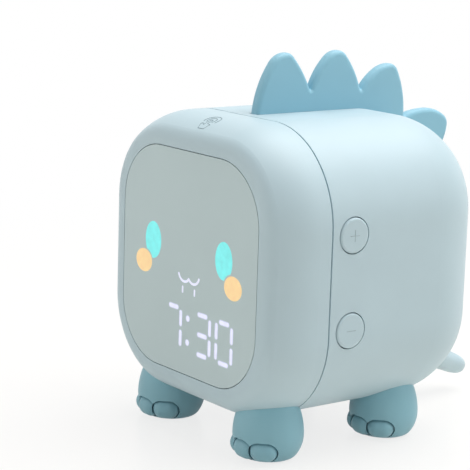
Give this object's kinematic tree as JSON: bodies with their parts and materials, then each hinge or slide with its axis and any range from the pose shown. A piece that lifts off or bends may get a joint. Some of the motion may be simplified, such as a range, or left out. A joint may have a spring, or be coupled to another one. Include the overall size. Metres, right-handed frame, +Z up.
{
  "type": "kids alarm clock",
  "caption": "Small digital alarm clock and night light for children, shaped as a round spiny animal with a lit face panel, a back crest, a tail and stub feet.",
  "frame": {"origin": "on the surface that the feet stand on, under the middle of the body's shell", "axes": "+Z up, the face looks along -Y, +X to the right of someone who looks at the face"},
  "size_m": [0.0888, 0.1154, 0.1165],
  "materials": {
    "body": "satin, pale blue-grey",
    "panel": "flat matte, grey-green",
    "crest": "matte teal",
    "eye_light": "lit turquoise",
    "cheek_light": "lit orange",
    "white_light": "lit white",
    "clear_plastic": "frosted clear",
    "white_plastic": "matte white",
    "circuit_board": "solder mask",
    "steel": "plated",
    "copper": "plain copper",
    "rubber": "soft",
    "foam": "closed-cell foam",
    "black_plastic": "matte black",
    "battery_wrap": "silver pouch",
    "wire": "insulated wire"
  },
  "bodies": {
    "clock": {"eye_lenses": "eye_light", "cheek_lenses": "cheek_light", "mouth_lenses": "white_light", "digit_lenses": "white_light", "face_panel": "panel", "lens_carrier": "clear_plastic", "display_leds": "white_plastic", "light_baffle": "white_plastic", "night_light_leds": "white_plastic", "display_board": "circuit_board", "display_board_screws": "steel", "front_shell": "body", "rear_shell": "body", "crest_screws": "steel", "tail_screws": "steel", "spine_crest": "crest", "tail": "body", "front_left_foot": "crest", "front_right_foot": "crest", "rear_left_foot": "crest", "rear_right_foot": "crest", "foot_pads": "rubber", "foot_screws": "steel", "switch_bodies": "black_plastic", "switch_domes": "steel", "left_button_board": "circuit_board", "right_button_board": "circuit_board", "button_board_screws": "steel", "main_board": "circuit_board", "main_board_screws": "steel", "usb_socket": "steel", "control_chip": "black_plastic", "clock_crystal": "steel", "speaker_gasket": "foam", "speaker": "black_plastic", "battery_pad": "foam", "battery": "battery_wrap", "lead_sockets": "white_plastic", "ribbon_sockets": "white_plastic", "display_ribbon": "white_plastic", "left_button_lead": "wire", "right_button_lead": "wire", "battery_lead": "wire", "speaker_lead": "wire", "touch_lead": "wire", "touch_plate": "copper", "case_screws": "steel"},
    "plus_key": {"plus_button": "body", "plus_plunger": "black_plastic"},
    "minus_key": {"minus_button": "body", "minus_plunger": "black_plastic"},
    "alarm_key": {"alarm_button": "body", "alarm_plunger": "black_plastic"},
    "light_key": {"light_button": "body", "light_plunger": "black_plastic"}
  },
  "joints": [
    {"name": "plus_press", "type": "slide", "parent": "clock", "child": "plus_key", "axis": [-1, 0, 0], "range_m": [0, 0.0006], "stiffness_N_per_m": 300, "springref_m": -0.0015},
    {"name": "minus_press", "type": "slide", "parent": "clock", "child": "minus_key", "axis": [-1, 0, 0], "range_m": [0, 0.0006], "stiffness_N_per_m": 300, "springref_m": -0.0015},
    {"name": "alarm_press", "type": "slide", "parent": "clock", "child": "alarm_key", "axis": [1, 0, 0], "range_m": [0, 0.0006], "stiffness_N_per_m": 300, "springref_m": -0.0015},
    {"name": "light_press", "type": "slide", "parent": "clock", "child": "light_key", "axis": [1, 0, 0], "range_m": [0, 0.0006], "stiffness_N_per_m": 300, "springref_m": -0.0015}
  ]
}
